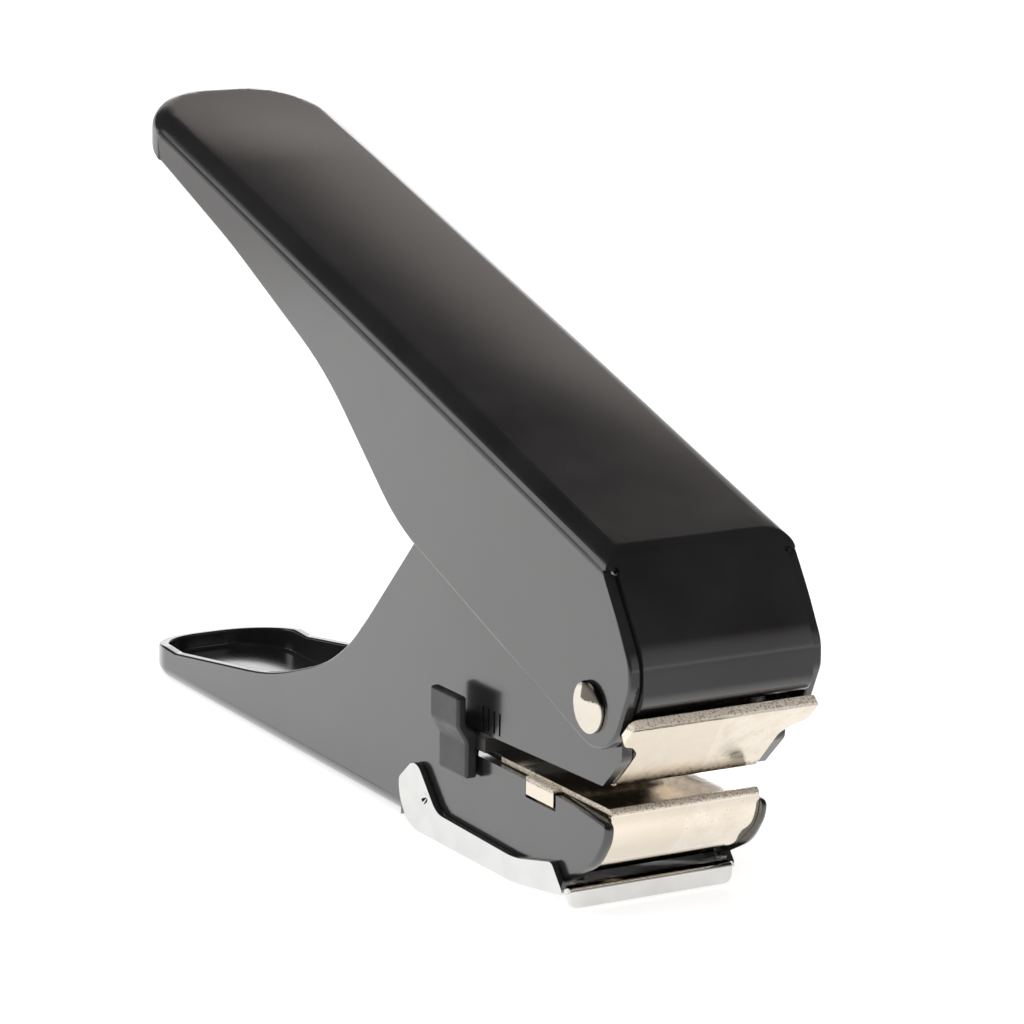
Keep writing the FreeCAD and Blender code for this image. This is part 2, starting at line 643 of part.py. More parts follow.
def drive_roller(side):
    """Hardened roller between the pin and the bracket leg's slot."""
    y0, y1 = CARRIER_HALF_W + ROLLER_SHY, CHEEK_IN - ROLLER_SHY
    half = (y1 - y0) / 2
    y = side * (y0 + half)
    hole = pin_y(PIN_D + 2 * RUNNING_CLEARANCE, half + 1, PUNCH_X, PIN_Z, y)
    return pin_y(ROLLER_D, half, PUNCH_X, PIN_Z, y).cut(hole)


def drive_pin():
    bar = pin_y(PIN_D, HALF_BODY - PIN_CHAMFER, PUNCH_X, PIN_Z)
    return bar.makeChamfer(PIN_CHAMFER, [e for e in bar.Edges if e.Curve.TypeId == "Part::GeomCircle"])


def return_spring(x):
    """A compression spring as rings of wire joined by a thin seam, set in its two pockets."""
    z0 = GUIDE_BLOCK_TOP - SPRING_POCKET_DOWN + SPRING_WIRE / 2
    z1 = CARRIER_BOTTOM + SPRING_POCKET_UP - SPRING_WIRE / 2
    r = (SPRING_D - SPRING_WIRE) / 2
    pitch = (z1 - z0) / SPRING_TURNS
    helix = Part.makeHelix(pitch, z1 - z0, r)
    ring = Part.Wire(Part.makeCircle(SPRING_WIRE / 2, V(r, 0, 0), V(0, 1, 0)))
    coil = helix.makePipeShell([ring], True, True)
    coil.translate(V(x, 0, z0))
    return coil


# ---------------------------------------------------------------- jaw plates
def guide_lean():
    return math.radians(GUIDE_LEAN)


def guide_front_x(z):
    """Front face of the flared plate at height z."""
    return GUIDE_FRONT_X + (z - GUIDE_FACE_Z) / math.tan(guide_lean())


def flared_outline():
    """Outline of the flared plate in its own plane: across, and up along the slope."""
    length = (GUIDE_TOP_Z - GUIDE_FACE_Z) / math.sin(guide_lean())
    low_w = CHEEK_IN - PLATE_SIDE_GAP
    ear_w = HALF_BODY + GUIDE_EAR_PROUD
    ear0 = length - GUIDE_EAR_H
    neck = ear0 - GUIDE_FLARE_H
    right = [(low_w, 0, 0), (low_w, neck, 2.4), (low_w + 1.6, ear0, 1.5), (ear_w, ear0 + 0.2, 1.6),
             (ear_w, length, 1.1)]
    left = [(-a, b, r) for a, b, r in reversed(right)]
    return right + left


def flared_plate():
    lean = guide_lean()
    up = V(math.cos(lean), 0, math.sin(lean))
    inward = V(-math.sin(lean), 0, math.cos(lean))
    foot = V(GUIDE_FRONT_X, 0, GUIDE_FACE_Z)
    wire = rounded_wire(flared_outline(), lambda p: foot + V(0, p.x, 0) + up * p.y)
    return Part.Face(wire).extrude(inward * GUIDE_T)


def guide_plate():
    """Upper jaw plate: a level face over the throat, bent up into a flared lead-in with ears."""
    half = CHEEK_IN - PLATE_SIDE_GAP
    level = block(GUIDE_REAR_X, GUIDE_FRONT_X, half, GUIDE_FACE_Z, GUIDE_FACE_Z + GUIDE_T)
    plate = level.fuse(flared_plate()).removeSplitter()

    def on_bend(p, edge):
        return abs(p.x - GUIDE_FRONT_X) < 0.01 and abs(p.z - GUIDE_FACE_Z) < 0.01

    plate = plate.makeFillet(0.9, edges_on(plate, on_bend))
    return plate.cut([punch_slot(PUNCH_FIT, GUIDE_FACE_Z - 1, GUIDE_FACE_Z + 5)] + screw_bars(0.0))


def screw_x():
    return PUNCH_X - GUIDE_BLOCK_L / 2 + SCREW_INSET


def screw_bars(grow):
    """Shanks of the two screws that hold the guide block to the guide plate."""
    return [Part.makeCylinder(SCREW_D / 2 + grow, AHEAD, V(screw_x(), s * SCREW_Y, GUIDE_FACE_Z + 0.1))
            for s in (-1, 1)]


def screw_heads(grow):
    h = (SCREW_HEAD_D - SCREW_D) / 2
    return [Part.makeCone(SCREW_D / 2 + grow, SCREW_HEAD_D / 2 + grow, h,
                          V(screw_x(), s * SCREW_Y, GUIDE_BLOCK_TOP - h)) for s in (-1, 1)]


def guide_block():
    """Block that keeps the blade upright over the guide plate."""
    half_l = GUIDE_BLOCK_L / 2
    low = GUIDE_FACE_Z + GUIDE_T
    body = block(PUNCH_X - half_l, PUNCH_X + half_l, CHEEK_IN - PLATE_SIDE_GAP, low, GUIDE_BLOCK_TOP)
    pockets = [spring_pocket(x, GUIDE_BLOCK_TOP - SPRING_POCKET_DOWN, GUIDE_BLOCK_TOP + 1)
               for x in spring_axes()]
    slot = punch_slot(PUNCH_FIT, low - 1, GUIDE_BLOCK_TOP + 1)
    shanks = screw_bars(FIXED_CLEARANCE)
    return body.cut(pockets + [slot] + shanks + screw_heads(FIXED_CLEARANCE))


def guide_screws():
    """Two countersunk screws, flush with the guide block."""
    top = GUIDE_BLOCK_TOP
    low = GUIDE_FACE_Z + GUIDE_T
    trim = block(PUNCH_X - GUIDE_BLOCK_L, PUNCH_X, CHEEK_IN, low, top)
    width, depth = SCREW_DRIVE
    screws = []
    for shank, head in zip(screw_bars(0.0), screw_heads(0.0)):
        screws.append(shank.common(trim).fuse(head).removeSplitter())
    drives = [Part.makeBox(SCREW_HEAD_D, width, depth, V(screw_x() - SCREW_HEAD_D / 2,
                                                         s * SCREW_Y - width / 2, top - depth))
              for s in (-1, 1)]
    return Part.makeCompound([screw.cut(drive) for screw, drive in zip(screws, drives)])


def die_side():
    """Side outline of the die plate: level face, a front lip curled under, and a rear leg."""
    t = DIE_T
    under = DIE_FACE_Z - t
    front = [(DIE_FRONT_X, DIE_FACE_Z, 1.0)] + DIE_LIP_LINE
    inner = inner_line(front, t)
    (ax, az, _), (bx, bz, _) = inner[1:3]
    knee = (ax + (under - az) * (bx - ax) / (bz - az), under, DIE_KNEE_R)
    rear = [(DIE_REAR_X + t, under, DIE_KNEE_R), (DIE_REAR_X + t, DIE_BACK_Z, 0),
            (DIE_REAR_X, DIE_BACK_Z, 0), (DIE_REAR_X, DIE_FACE_Z, 1.0)]
    return front + list(reversed(inner[2:])) + [knee] + rear


def die_skin(t, ahead, half):
    """The level face and the lip as a thin bent strip, grown outwards by ahead."""
    line = [(DIE_REAR_X, DIE_FACE_Z, 0), (DIE_FRONT_X, DIE_FACE_Z, 1.0)] + DIE_LIP_LINE
    outer = inner_line(line, -ahead) if ahead else line
    return side_plate(outer + list(reversed(inner_line(line, t))), half)


def die_seat():
    """Rebate in the cheeks' edges that takes the plate's rolled edges."""
    half = CHEEK_IN + DIE_SKIN_LAP + DIE_SEAT_GAP
    return die_skin(DIE_SKIN_T + DIE_SEAT_GAP, DIE_T, half)


def die_plate():
    """Lower jaw plate with the die slot, laid over the cheeks' edges and keyed by a tab on each side."""
    half = CHEEK_IN - PLATE_SIDE_GAP
    tab_y = HALF_BODY + DIE_TAB_PROUD
    tab_top = DIE_FACE_Z - DIE_TAB_DROP
    x0, x1 = DIE_TAB_X - DIE_TAB_L / 2, DIE_TAB_X + DIE_TAB_L / 2
    tabs = block(x0, x1, tab_y, tab_top - DIE_TAB_H, tab_top)
    tabs = tabs.makeFillet(DIE_TAB_R, edges_on(tabs, lambda p, e: abs(abs(p.y) - tab_y) < 0.01))
    skin = die_skin(DIE_SKIN_T, 0, CHEEK_IN + DIE_SKIN_LAP)
    plate = side_plate(die_side(), half).fuse([tabs, skin]).removeSplitter()
    low = DIE_FACE_Z - DIE_T - 1
    die = punch_slot(PUNCH_FIT, low, DIE_FACE_Z + 1)
    relief = punch_slot(DIE_RELIEF, low, DIE_FACE_Z - DIE_LAND)
    return plate.cut([die, relief])


# ---------------------------------------------------------------- depth stop
def stop_tab():
    """One thumb pad with its foot, drawn from behind and extruded forwards."""
    y_in = HALF_BODY + STOP_CHEEK_GAP
    pad, foot = HALF_BODY + STOP_PAD_PROUD, HALF_BODY + STOP_FOOT_PROUD
    pad_in = pad - STOP_PAD_T
    outline = [(pad, STOP_TOP_Z, 0.5), (pad, STOP_STEP_Z, 1.6), (foot, STOP_LOW_Z, 1.2),
               (foot, STOP_BOTTOM_Z, 0.5), (y_in, STOP_BOTTOM_Z, 0.3), (y_in, STOP_LOW_Z + 1.4, 0.6),
               (pad_in, STOP_STEP_Z + 0.3, 1.0), (pad_in, STOP_TOP_Z, 0.5)]
    tab = cross_plate(outline, STOP_X0, STOP_L)
    reach = STOP_L / 2 - 0.2
    middle = STOP_X0 + STOP_L / 2

    def on_corner(p, edge):
        return p.z > STOP_TOP_Z - 1.6 and edge.Length < 1.2 and abs(p.x - middle) > reach

    return tab.makeFillet(STOP_EDGE_R, edges_on(tab, on_corner))


def depth_stop():
    """Moulded stop: a bar across the throat and a thumb pad outside each cheek."""
    bar_x = THROAT_END_X + STOP_BAR_GAP
    bar_top = THROAT_TOP_REAR_Z - STOP_BAR_LIFT
    bar = block(bar_x, bar_x + STOP_BAR_L, HALF_BODY + 2 * STOP_CHEEK_GAP, bar_top - STOP_BAR_T, bar_top)
    return bar.fuse(both_sides(stop_tab())).removeSplitter()


# ---------------------------------------------------------------- chip tray
def heel_centre():
    """Centre of the heel's rounding: its arc touches the table."""
    x = TRAY_HEEL_X
    return x, (TRAY_HEEL_R - PIVOT_HEIGHT - x * math.sin(TILT)) / math.cos(TILT)


def tray_floor_z(x):
    """Outside of the tray's floor."""
    low = heel_centre()[1] - TRAY_HEEL_R
    if x <= TRAY_FLOOR_BREAK_X:
        return low
    slope = (TRAY_FRONT_Z - low) / (TRAY_FRONT_X - TRAY_FLOOR_BREAK_X)
    return low + slope * (x - TRAY_FLOOR_BREAK_X)


def tray_arm_corners():
    """Side outline of an arm: heel, ear, upper edge, front end and the break of its floor."""
    hx, hz = heel_centre()
    low = hz - TRAY_HEEL_R
    back = hx - TRAY_HEEL_R
    heel = [(back, low, TRAY_HEEL_R - 0.01), (back, hz + TRAY_EAR_RISE, 1.2), (*TRAY_EAR_TOP, 2.4)]
    front = [(TRAY_FRONT_X, TRAY_FRONT_Z, 0.0)]
    return heel + TRAY_ARM_LINE + front + [(TRAY_FLOOR_BREAK_X, low, TRAY_BREAK_R)]


def tray_floor():
    """Floor of the tray, one bent strip."""
    x0, x1, x2 = TRAY_FLOOR_REAR_X, TRAY_FLOOR_BREAK_X, TRAY_FRONT_X
    t = TRAY_T
    outline = [(x0, tray_floor_z(x0), 0), (x1, tray_floor_z(x1), TRAY_BREAK_R), (x2, TRAY_FRONT_Z, 0),
               (x2, TRAY_FRONT_Z + t, 0), (x1, tray_floor_z(x1) + t, TRAY_BREAK_R),
               (x0, tray_floor_z(x0) + t, 0)]
    return side_plate(outline, HALF_BODY + TRAY_SIDE_GAP + TRAY_T / 2)


def tray_lip():
    """Finger lip: the floor's front end bent down, its lower corners rounded."""
    t = TRAY_T
    half = HALF_BODY + TRAY_LIP_PROUD
    low_x, low_z = TRAY_LIP_LOW
    top = TRAY_LIP_TOP_Z
    lip = side_plate([(TRAY_FRONT_X - t, top, 0), (TRAY_LIP_X, top, TRAY_LIP_BEND_R), (low_x, low_z, t / 3),
                      (low_x - t, low_z, t / 3), (TRAY_LIP_X - t, TRAY_FRONT_Z - t, 0.2),
                      (TRAY_FRONT_X - t, TRAY_FRONT_Z, 0)], half)
    face = cross_plate([(-half, ALL, 0), (-half, low_z, TRAY_LIP_CORNER_R), (half, low_z, TRAY_LIP_CORNER_R),
                        (half, ALL, 0)], TRAY_FRONT_X - 2 * t, AHEAD)
    return lip.common(face)


def chip_tray():
    """Sprung tray: a floor under the jaw between two arms that click into the cheeks."""
    y_in = HALF_BODY + TRAY_SIDE_GAP
    y_mid = y_in + TRAY_T / 2
    arm = side_plate(tray_arm_corners(), TRAY_T / 2, y_mid)
    arm = arm.fuse(pin_y(DIMPLE_D, (DIMPLE_LEN + TRAY_T) / 2, *TRAY_HINGE, y_mid - DIMPLE_LEN / 2))
    dish = Part.makeCone(0.2, HINGE_DISH_D / 2, HINGE_DISH_DEPTH,
                         V(TRAY_HINGE[0], y_in + TRAY_T - HINGE_DISH_DEPTH, TRAY_HINGE[1]), V(0, 1, 0))
    arm = arm.cut(dish)
    return tray_floor().fuse(both_sides(arm) + [tray_lip()]).removeSplitter()


# ---------------------------------------------------------------- assembly
def build_nodes():
    return {
        "body_frame": body_frame(),
        "handle_shell": handle_shell(),
        "drive_bracket": drive_bracket(),
        "pivot_rivet": pivot_rivet(),
        "pivot_sleeve": pivot_sleeve(),
        "pivot_washer_right": pivot_washer(-1),
        "pivot_washer_left": pivot_washer(1),
        "guide_plate": guide_plate(),
        "guide_block": guide_block(),
        "guide_screws": guide_screws(),
        "die_plate": die_plate(),
        "punch_carrier": punch_carrier(),
        "punch_blade": punch_blade(),
        "blade_pins": blade_pins(),
        "drive_pin": drive_pin(),
        "drive_roller_right": drive_roller(-1),
        "drive_roller_left": drive_roller(1),
        "return_spring_front": return_spring(spring_axes()[0]),
        "return_spring_rear": return_spring(spring_axes()[1]),
        "depth_stop": depth_stop(),
        "chip_tray": chip_tray(),
    }


def stand(shapes):
    """Lean the tool back on its tail and tray, and centre its footprint on the origin."""
    lean = FreeCAD.Placement(V(0, 0, PIVOT_HEIGHT), FreeCAD.Rotation(V(0, 1, 0), -STAND_TILT))
    leaned = {name: placed(shape, lean) for name, shape in shapes.items()}
    box = Part.makeCompound(list(leaned.values())).optimalBoundingBox()
    shift = FreeCAD.Placement(V(-(box.XMin + box.XMax) / 2, 0, 0), FreeCAD.Rotation())
    return {name: placed(shape, shift) for name, shape in leaned.items()}, -(box.XMin + box.XMax) / 2


def placed(shape, placement):
    moved = shape.copy()
    moved.Placement = placement.multiply(moved.Placement)
    return moved


def main():
    os.makedirs("parts", exist_ok=True)
    nodes, shift = stand(build_nodes())
    print("pivot x", round(shift, 4), "pin travel", round(pin_travel(), 4))
    for name, shape in nodes.items():
        shape.exportStep(f"parts/{name}.step")
        box = shape.optimalBoundingBox()
        print(f"{name:22s} solids {len(shape.Solids)} valid {shape.isValid()} volume {shape.Volume:9.1f}"
              f" x {box.XMin:7.2f} {box.XMax:7.2f} y {box.YMin:6.2f} {box.YMax:6.2f}"
              f" z {box.ZMin:6.2f} {box.ZMax:6.2f}")


main()
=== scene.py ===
import math
import bpy
import bmesh
from mathutils import Matrix, Vector


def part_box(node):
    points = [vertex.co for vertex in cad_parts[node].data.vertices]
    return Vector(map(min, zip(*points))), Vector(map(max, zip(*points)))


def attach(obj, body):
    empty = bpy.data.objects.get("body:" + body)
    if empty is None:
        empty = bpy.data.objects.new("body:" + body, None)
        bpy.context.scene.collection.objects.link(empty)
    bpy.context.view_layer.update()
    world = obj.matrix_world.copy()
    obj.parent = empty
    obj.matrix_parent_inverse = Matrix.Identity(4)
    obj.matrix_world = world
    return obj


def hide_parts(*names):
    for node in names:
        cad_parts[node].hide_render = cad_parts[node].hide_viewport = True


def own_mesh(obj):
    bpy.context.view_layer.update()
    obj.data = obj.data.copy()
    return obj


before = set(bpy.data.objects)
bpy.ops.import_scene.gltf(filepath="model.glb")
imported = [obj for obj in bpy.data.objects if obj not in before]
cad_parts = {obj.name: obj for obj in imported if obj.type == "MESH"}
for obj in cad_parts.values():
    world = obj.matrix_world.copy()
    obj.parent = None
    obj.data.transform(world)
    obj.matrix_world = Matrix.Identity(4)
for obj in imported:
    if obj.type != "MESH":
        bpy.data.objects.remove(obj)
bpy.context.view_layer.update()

# ---------------------------------------------------------------- stance and camera
# The tool is measured from beside its pivot axis, in millimetres, with +Z along the punch. It
# stands leaned back a little on its chip tray and its tail, so every measure goes through STANCE.
PIVOT_AT = Vector((0.0647252, 0.0, 0.0309))
LEAN_ANGLE = -math.radians(1.05)
LEAN = Matrix.Rotation(LEAN_ANGLE, 4, "Y")
STANCE = Matrix.Translation(PIVOT_AT) @ LEAN @ Matrix.Scale(0.001, 4)
CAMERA_AT = Vector((483.34, -313.2, 157.77))
CAMERA_TURN, CAMERA_RISE, CAMERA_ROLL = (math.radians(a) for a in (59.36, 13.07, 0.92))
LENS, FILM = 158.2, 36.0
SIGHT_ENDS = 30.0

back = Vector((math.sin(CAMERA_TURN) * math.cos(CAMERA_RISE),
               -math.cos(CAMERA_TURN) * math.cos(CAMERA_RISE), math.sin(CAMERA_RISE)))
right = (-back).cross(Vector((0, 0, 1))).normalized()
up = right.cross(-back)
across = right * math.cos(CAMERA_ROLL) + up * math.sin(CAMERA_ROLL)
upward = up * math.cos(CAMERA_ROLL) - right * math.sin(CAMERA_ROLL)
lens = bpy.data.cameras.new("camera")
lens.lens = LENS
lens.sensor_width = FILM
lens.clip_end = SIGHT_ENDS
camera = bpy.data.objects.new("camera", lens)
camera.matrix_world = LEAN @ Matrix((across, upward, back)).transposed().to_4x4()
camera.location = STANCE @ CAMERA_AT
bpy.context.scene.collection.objects.link(camera)
bpy.context.scene.camera = camera
bpy.context.scene.view_settings.view_transform = "Standard"

# ---------------------------------------------------------------- table and backdrop
# A white sheet on a table that runs out of sight. The eye sees it white all over. The bright
# metal sees it white around the tool, fading to dark some 30 cm away.
SHEET_WHITE = (0.5, 0.5, 0.5, 1)
SHEET_TO_EYE = 0.72
SHEET_TO_METAL = 0.60
POOL_AT = (-0.10, -0.10, 0.0)
POOL_IN, POOL_OUT = 0.20, 0.33
TABLE_HALF = 6.0


def finish(name):
    """A new surface finish and its shader."""
    made = bpy.data.materials.new(name)
    made.use_nodes = True
    return made, made.node_tree.nodes["Principled BSDF"]


def node(made, kind, **settings):
    """A node of that kind in a finish or the world, with its settings."""
    new = made.node_tree.nodes.new(kind)
    for key, value in settings.items():
        setattr(new, key, value)
    return new


def wire(made, source, target):
    """Joins an output to an input."""
    made.node_tree.links.new(source, target)


def calc(made, operation, *values):
    """A sum on sockets and plain numbers."""
    math_node = node(made, "ShaderNodeMath", operation=operation)
    for number, value in enumerate(values):
        if isinstance(value, (int, float)):
            math_node.inputs[number].default_value = value
        else:
            wire(made, value, math_node.inputs[number])
    return math_node.outputs[0]


def spread(made, value, low, high, start=0.35, end=0.65, steps="SMOOTHSTEP"):
    """The value between start and end brought to the range low to high."""
    ranged = node(made, "ShaderNodeMapRange", interpolation_type=steps)
    for key, number in zip(("From Min", "From Max", "To Min", "To Max"), (start, end, low, high)):
        ranged.inputs[key].default_value = number
    wire(made, value, ranged.inputs["Value"])
    return ranged.outputs[0]


def sheet_finish():
    """Matt white, with a glow of its own for the eye and for what the gloss shows."""
    made, shader = finish("white_sheet")
    shader.inputs["Base Color"].default_value = SHEET_WHITE
    shader.inputs["Roughness"].default_value = 0.9
    shader.inputs["Specular IOR Level"].default_value = 0.1
    place = node(made, "ShaderNodeTexCoord")
    away = node(made, "ShaderNodeVectorMath", operation="DISTANCE")
    away.inputs[1].default_value = POOL_AT
    wire(made, place.outputs["Object"], away.inputs[0])
    pool = spread(made, away.outputs["Value"], SHEET_TO_METAL, 0.0, POOL_IN, POOL_OUT)
    path = node(made, "ShaderNodeLightPath")
    glow = node(made, "ShaderNodeEmission")
    glow.inputs["Color"].default_value = (1, 1, 1, 1)
    to_eye = calc(made, "MULTIPLY", path.outputs["Is Camera Ray"], SHEET_TO_EYE)
    bounced = calc(made, "MAXIMUM", path.outputs["Is Glossy Ray"], path.outputs["Is Transmission Ray"])
    wire(made, calc(made, "ADD", to_eye, calc(made, "MULTIPLY", bounced, pool)), glow.inputs["Strength"])
    both = node(made, "ShaderNodeAddShader")
    wire(made, shader.outputs[0], both.inputs[0])
    wire(made, glow.outputs[0], both.inputs[1])
    wire(made, both.outputs[0], made.node_tree.nodes["Material Output"].inputs["Surface"])
    return made


sheet_mesh = bmesh.new()
bmesh.ops.create_grid(sheet_mesh, x_segments=2, y_segments=2, size=TABLE_HALF)
sheet_data = bpy.data.meshes.new("table")
sheet_mesh.to_mesh(sheet_data)
sheet_mesh.free()
table = bpy.data.objects.new("table", sheet_data)
bpy.context.scene.collection.objects.link(table)
sheet_data.materials.append(sheet_finish())


# ---------------------------------------------------------------- lamps and room
# Three large soft lamps: low on the left, overhead and in front. What the gloss shows of the
# room is dark above the horizon, but for the windows: each a direction, the angles from it where
# its light starts and is full, and its power.
AIM_AT = Vector((0, 0, 0.03))


def soft_lamp(name, at, size, power):
    """A square soft box that looks at the tool."""
    data = bpy.data.lights.new(name, "AREA")
    data.shape = "RECTANGLE"
    data.size, data.size_y = size
    data.energy = power
    lamp = bpy.data.objects.new(name, data)
    aim = AIM_AT - Vector(at)
    lamp.matrix_world = Matrix.Translation(at) @ aim.to_track_quat("-Z", "Y").to_matrix().to_4x4()
    lamp.visible_glossy = False
    bpy.context.scene.collection.objects.link(lamp)


soft_lamp("left_box", (-0.95, -0.62, 0.30), (1.3, 0.9), 16.0)
soft_lamp("top_box", (0.25, -0.15, 1.15), (0.9, 0.9), 6.0)
soft_lamp("front_box", (0.95, -0.45, 0.55), (0.6, 0.6), 3.0)

ROOM_SOFT = 0.45
ROOM_DARK = 0.02
HORIZON_GLOW = 0.70
HORIZON_TO = 0.10
WARM = (1.0, 0.91, 0.86, 1)
WARM_FROM, WARM_TO = 0.3, 0.5
WINDOWS = {
    "behind": ((-0.80, 0.56, 0.20), 31.5, 23.0, 0.42),
    "behind_low": ((-0.83, 0.50, 0.22), 14.0, 6.0, 1.4),
    "left": ((-0.63, -0.70, 0.28), 13.0, 4.0, 1.4),
    "right": ((0.80, 0.50, 0.05), 40.0, 8.0, 0.40),
}


def tinted(made, amount, first, second):
    """The first colour, in socket 6, turned into the second, in 7, by an amount from 0 to 1."""
    mix = node(made, "ShaderNodeMix", data_type="RGBA")
    wire(made, amount, mix.inputs[0])
    for place, colour in ((6, first), (7, second)):
        if isinstance(colour, tuple):
            mix.inputs[place].default_value = colour
        else:
            wire(made, colour, mix.inputs[place])
    return mix.outputs[2]


room = bpy.data.worlds.new("room")
room.use_nodes = True
bpy.context.scene.world = room
sight = node(room, "ShaderNodeTexCoord").outputs["Generated"]
split = node(room, "ShaderNodeSeparateXYZ")
wire(room, sight, split.inputs[0])
rise = split.outputs["Z"]
shown = calc(room, "ADD", spread(room, rise, HORIZON_GLOW, 0.0, 0.0, HORIZON_TO), ROOM_DARK)
for towards, outer, inner, power in WINDOWS.values():
    near = node(room, "ShaderNodeVectorMath", operation="DOT_PRODUCT")
    near.inputs[1].default_value = Vector(towards).normalized()
    wire(room, sight, near.inputs[0])
    starts, is_full = math.cos(math.radians(outer)), math.cos(math.radians(inner))
    shown = calc(room, "ADD", shown, spread(room, near.outputs["Value"], 0.0, power, starts, is_full))
path = node(room, "ShaderNodeLightPath")
pick = node(room, "ShaderNodeMix", data_type="FLOAT")
pick.inputs[3].default_value = ROOM_SOFT
wire(room, path.outputs["Is Diffuse Ray"], pick.inputs[0])
wire(room, shown, pick.inputs[2])
sky = room.node_tree.nodes["Background"]
wire(room, calc(room, "MAXIMUM", pick.outputs[0], path.outputs["Is Camera Ray"]), sky.inputs["Strength"])
warmth = spread(room, rise, 0.0, 1.0, WARM_FROM, WARM_TO)
wire(room, tinted(room, warmth, (1, 1, 1, 1), WARM), sky.inputs["Color"])


# ---------------------------------------------------------------- handle
# One piece of 1.6 mm steel, blanked, folded down on both sides and at the rear, bent down and
# curled under at the nose, its top pressed slightly crowned, then coated satin black.
HANDLE_HALF_W = 15.0
# The crown starts at the first and is whole at the second of each two places along the top, and
# so it does from CROWN_DEEP below the top to CROWN_WHOLE_TO.
TOP_FROM = (2.3, 21.5)
TOP_SLOPE = math.tan(math.radians(17.0))
CROWN = 1.0
CROWN_WHOLE_TO, CROWN_DEEP = 2.0, 4.0
CROWN_REAR = (-134.0, -108.0)
CROWN_NOSE = (-3.0, -45.0)
CROWN_STRIPS, CROWN_STEPS = 14, 4
TUMBLED = 0.20
ROLLED_OVER, ROLLED_STEPS = 0.5, 4
FLAT_SIDE, FACES_OUT = 0.9998, 0.99
ON_FACE = 0.02
MERGED_WITHIN, FLAT_WITHIN = 1e-6, math.radians(0.5)
SHARP_FROM, SHADED_SHARP_FROM, SQUARE_FROM = (math.radians(a) for a in (28, 32, 75))
PAINT = (0.011, 0.011, 0.012, 1)
PAINT_WORN = (0.017, 0.017, 0.018, 1)


def measured(made):
    """The piece's own place in the tool's millimetres."""
    place = node(made, "ShaderNodeTexCoord")
    ruler = node(made, "ShaderNodeMapping", vector_type="TEXTURE")
    ruler.inputs["Location"].default_value = PIVOT_AT
    ruler.inputs["Rotation"].default_value = (0, LEAN_ANGLE, 0)
    ruler.inputs["Scale"].default_value = (0.001, 0.001, 0.001)
    wire(made, place.outputs["Object"], ruler.inputs["Vector"])
    return ruler.outputs[0]


def measures(made):
    """The same as three numbers."""
    parts = node(made, "ShaderNodeSeparateXYZ")
    wire(made, measured(made), parts.inputs[0])
    return parts.outputs


def grain(made, size, detail=3.0):
    """Noise with features of that size in millimetres."""
    noise = node(made, "ShaderNodeTexNoise")
    noise.inputs["Scale"].default_value = 1.0 / size
    noise.inputs["Detail"].default_value = detail
    wire(made, measured(made), noise.inputs["Vector"])
    return noise.outputs["Fac"]


def relief(made, shader, height, depth):
    """Raises the surface by the height value times a depth in millimetres."""
    bump = node(made, "ShaderNodeBump")
    bump.inputs["Distance"].default_value = depth * 0.001
    wire(made, height, bump.inputs["Height"])
    wire(made, bump.outputs[0], shader.inputs["Normal"])


def clouded(made, shader, cloud, first, second):
    """Colours the surface in two shades that follow a noise."""
    wire(made, tinted(made, spread(made, cloud, 0.0, 1.0), first, second), shader.inputs["Base Color"])


def dulled(made, shader, cloud, low, high):
    """Lets the roughness wander between two values as a noise does."""
    wire(made, spread(made, cloud, low, high), shader.inputs["Roughness"])


def paint_finish(name):
    """Satin black powder coat, a base under a clearer skin, hardly wavy."""
    made, shader = finish(name)
    clouded(made, shader, grain(made, 22.0), PAINT, PAINT_WORN)
    dulled(made, shader, grain(made, 6.0, 5.0), 0.20, 0.25)
    shader.inputs["IOR"].default_value = 1.6
    shader.inputs["Coat Weight"].default_value = 1.0
    shader.inputs["Coat IOR"].default_value = 1.55
    shader.inputs["Coat Roughness"].default_value = 0.13
    relief(made, shader, grain(made, 0.5, 1.0), 0.0015)
    return made


def solid_of(cad_node):
    """A mesh like a CAD node's, its flat faces whole again."""
    shape = bmesh.new()
    shape.from_mesh(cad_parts[cad_node].data)
    bmesh.ops.remove_doubles(shape, verts=shape.verts, dist=MERGED_WITHIN)
    bmesh.ops.dissolve_limit(shape, angle_limit=FLAT_WITHIN, verts=shape.verts, edges=shape.edges)
    return shape


def sharp(shape):
    """The edges that a file or a tumbler would take the corner off."""
    return [e for e in shape.edges if e.is_manifold and e.calc_face_angle() > SHARP_FROM]


def broken(shape, edges, width, segments=2, clamp=True):
    """Rounds those edges off by a width in millimetres."""
    bmesh.ops.bevel(shape, geom=edges, offset=width * 0.001, offset_type="OFFSET", affect="EDGES",
                    segments=segments, profile=0.5, material=-1, clamp_overlap=clamp)


def made_piece(name, shape, cad_node, body, surface):
    """Turns a finished bmesh into a piece that rides on a body and stands for a node."""
    for face in shape.faces:
        face.smooth = True
    for e in shape.edges:
        e.smooth = not e.is_manifold or e.calc_face_angle() < SHADED_SHARP_FROM
    data = bpy.data.meshes.new(name)
    shape.to_mesh(data)
    shape.free()
    data.materials.append(surface)
    piece = bpy.data.objects.new(name, data)
    bpy.context.scene.collection.objects.link(piece)
    weighted = piece.modifiers.new("flat_faces", "WEIGHTED_NORMAL")
    weighted.keep_sharp = True
    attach(piece, body)
    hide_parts(cad_node)
    return piece


def eased(value, start, end):
    """0 up to the start, 1 from the end on and a soft step between, whichever way they run."""
    t = min(max((value - start) / (end - start), 0), 1)
    return t * t * (3 - 2 * t)


